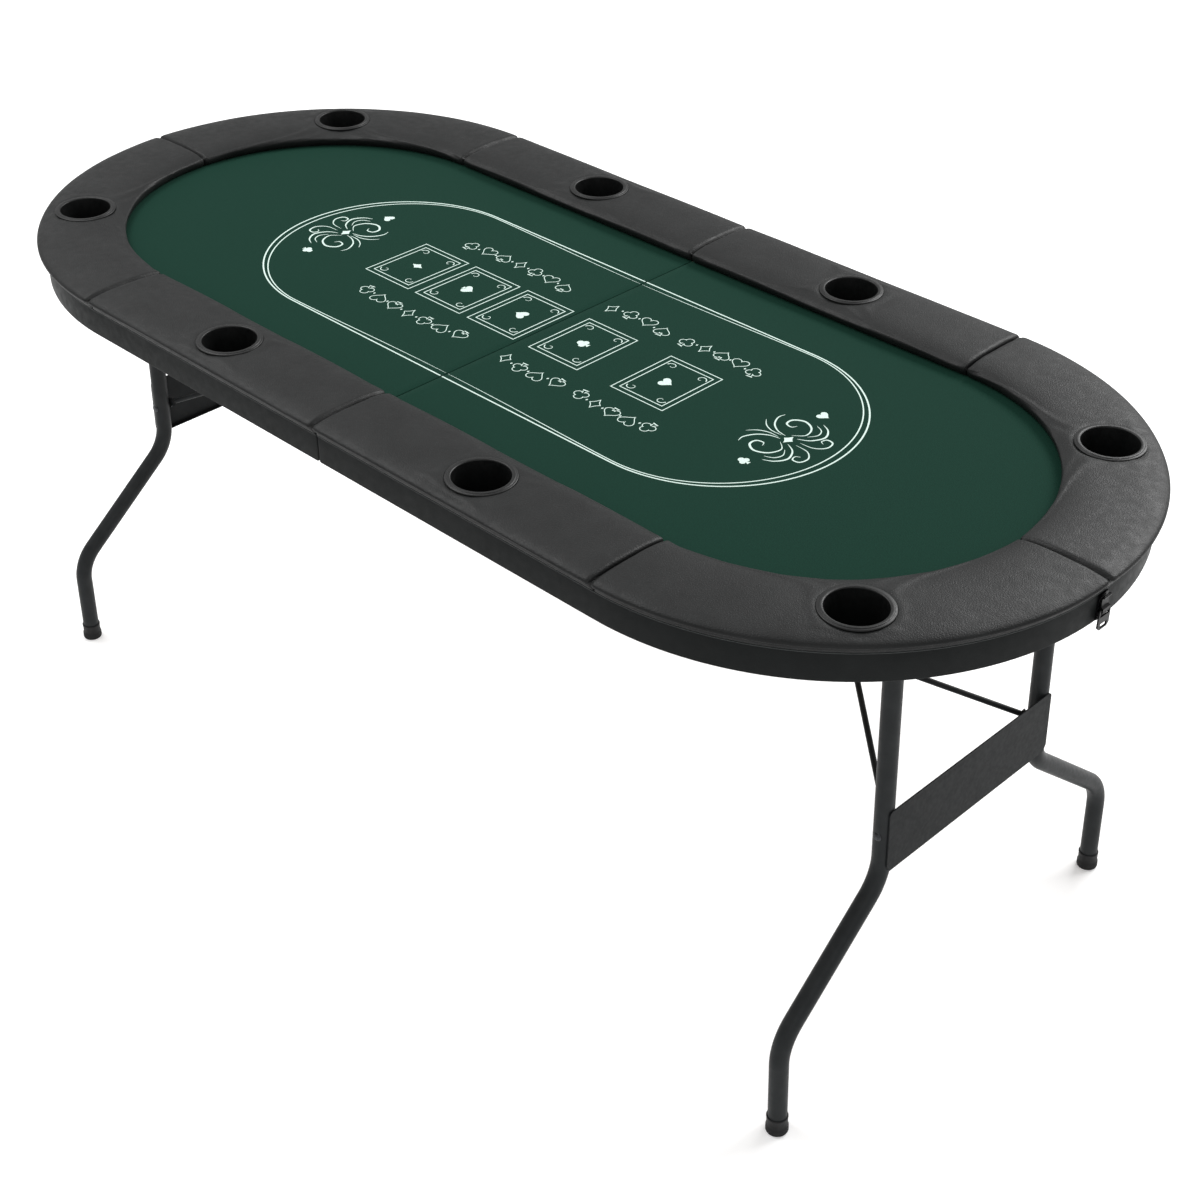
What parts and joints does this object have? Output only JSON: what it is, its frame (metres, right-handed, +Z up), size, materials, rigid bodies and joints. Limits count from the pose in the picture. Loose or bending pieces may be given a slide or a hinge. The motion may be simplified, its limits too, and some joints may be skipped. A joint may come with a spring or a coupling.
{
  "type": "poker table",
  "caption": "Folding poker table: printed cloth top in a padded leather-look rail with cup holders, two hinged halves, braced folding steel legs and a travel latch.",
  "frame": {"origin": "on the floor, below the middle of the table, at the centre of the bounding box's base", "axes": "+X along the table's length towards the end with the travel latch, +Y across it, +Z up"},
  "size_m": [1.83, 0.838, 0.756],
  "materials": {
    "cloth": "green brushed playing cloth on a foam backing, printed with a pale layout",
    "rail_leather": "black leather-look covering with a fine grain, padded",
    "rim_skin": "smooth black leather-look covering stretched over a wooden rim",
    "cup_plastic": "moulded black plastic, semi-gloss flange and darker bowl",
    "board": "bare fibreboard, sanded",
    "leg_paint": "satin charcoal powder coat on steel tube, rod and sheet",
    "bright_steel": "zinc-plated steel fittings and fixings",
    "latch_black": "black enamelled pressed steel",
    "foot_rubber": "moulded black rubber, matt"
  },
  "bodies": {
    "hinge_links": {"hinge_links": "bright_steel", "hinge_pins": "bright_steel"},
    "left_half": {"left_base_board": "board", "left_playing_cloth": "cloth", "left_rim_panel": "rim_skin", "left_hinge_batten": "board", "left_pad_side_near": "rail_leather", "left_pad_side_far": "rail_leather", "left_pad_end_near": "rail_leather", "left_pad_end_far": "rail_leather", "left_cup_side_near": "cup_plastic", "left_cup_side_far": "cup_plastic", "left_cup_end_near": "cup_plastic", "left_cup_end_far": "cup_plastic", "left_leg_brackets": "bright_steel", "left_brace_anchor": "bright_steel", "left_anchor_pin": "bright_steel", "left_hinge_leaves": "bright_steel", "left_screws": "bright_steel", "latch_keeper": "latch_black"},
    "right_half": {"right_base_board": "board", "right_playing_cloth": "cloth", "right_rim_panel": "rim_skin", "right_hinge_batten": "board", "right_pad_side_near": "rail_leather", "right_pad_side_far": "rail_leather", "right_pad_end_near": "rail_leather", "right_pad_end_far": "rail_leather", "right_cup_side_near": "cup_plastic", "right_cup_side_far": "cup_plastic", "right_cup_end_near": "cup_plastic", "right_cup_end_far": "cup_plastic", "right_leg_brackets": "bright_steel", "right_brace_anchor": "bright_steel", "right_anchor_pin": "bright_steel", "right_hinge_leaves": "bright_steel", "right_screws": "bright_steel", "latch_base": "latch_black"},
    "left_leg": {"left_pivot_tube": "leg_paint", "left_leg_near": "leg_paint", "left_leg_far": "leg_paint", "left_crossbar": "leg_paint", "left_foot_caps": "foot_rubber", "left_leg_bolts": "bright_steel"},
    "left_brace_arms": {"left_brace_arm_near": "leg_paint", "left_brace_arm_far": "leg_paint", "left_elbow_rivets": "bright_steel"},
    "left_brace_link": {"left_brace_link": "leg_paint"},
    "right_leg": {"right_pivot_tube": "leg_paint", "right_leg_near": "leg_paint", "right_leg_far": "leg_paint", "right_crossbar": "leg_paint", "right_foot_caps": "foot_rubber", "right_leg_bolts": "bright_steel"},
    "right_brace_arms": {"right_brace_arm_near": "leg_paint", "right_brace_arm_far": "leg_paint", "right_elbow_rivets": "bright_steel"},
    "right_brace_link": {"right_brace_link": "leg_paint"},
    "latch_lever": {"latch_lever": "latch_black"},
    "latch_hasp": {"latch_hasp": "latch_black"}
  },
  "joints": [
    {"name": "fold_left", "type": "hinge", "parent": "hinge_links", "child": "left_half", "pos_m": [-0.0055, 0, 0.696], "axis": [0, -1, 0], "range_deg": [0, 90]},
    {"name": "fold_right", "type": "hinge", "parent": "hinge_links", "child": "right_half", "pos_m": [0.0055, 0, 0.696], "axis": [0, 1, 0], "range_deg": [0, 90]},
    {"name": "left_leg_fold", "type": "hinge", "parent": "left_half", "child": "left_leg", "pos_m": [-0.74, 0, 0.707], "axis": [0, -1, 0], "range_deg": [0, 92]},
    {"name": "left_arms_fold", "type": "hinge", "parent": "left_leg", "child": "left_brace_arms", "pos_m": [-0.75155, 0, 0.3762], "axis": [0, -1, 0], "range_deg": [0, 63]},
    {"name": "left_link_fold", "type": "hinge", "parent": "left_half", "child": "left_brace_link", "pos_m": [-0.05, 0, 0.707], "axis": [0, 1, 0], "range_deg": [0, 25.5]},
    {"name": "right_leg_fold", "type": "hinge", "parent": "right_half", "child": "right_leg", "pos_m": [0.74, 0, 0.707], "axis": [0, 1, 0], "range_deg": [0, 92]},
    {"name": "right_arms_fold", "type": "hinge", "parent": "right_leg", "child": "right_brace_arms", "pos_m": [0.75155, 0, 0.3762], "axis": [0, 1, 0], "range_deg": [0, 63]},
    {"name": "right_link_fold", "type": "hinge", "parent": "right_half", "child": "right_brace_link", "pos_m": [0.05, 0, 0.707], "axis": [0, -1, 0], "range_deg": [0, 25.5]},
    {"name": "latch_open", "type": "hinge", "parent": "right_half", "child": "latch_lever", "pos_m": [0.90805, 0, 0.703], "axis": [0, 1, 0], "range_deg": [0, 100]},
    {"name": "hasp_hang", "type": "hinge", "parent": "latch_lever", "child": "latch_hasp", "pos_m": [0.90995, 0, 0.7085], "axis": [0, -1, 0], "range_deg": [0, 100]}
  ],
  "couplings": [
    {"joint": "left_arms_fold", "follows": "left_leg_fold", "ratio": 0.68212},
    {"joint": "left_link_fold", "follows": "left_leg_fold", "ratio": 0.2744},
    {"joint": "right_arms_fold", "follows": "right_leg_fold", "ratio": 0.68212},
    {"joint": "right_link_fold", "follows": "right_leg_fold", "ratio": 0.2744},
    {"joint": "hasp_hang", "follows": "latch_open", "ratio": 1}
  ]
}
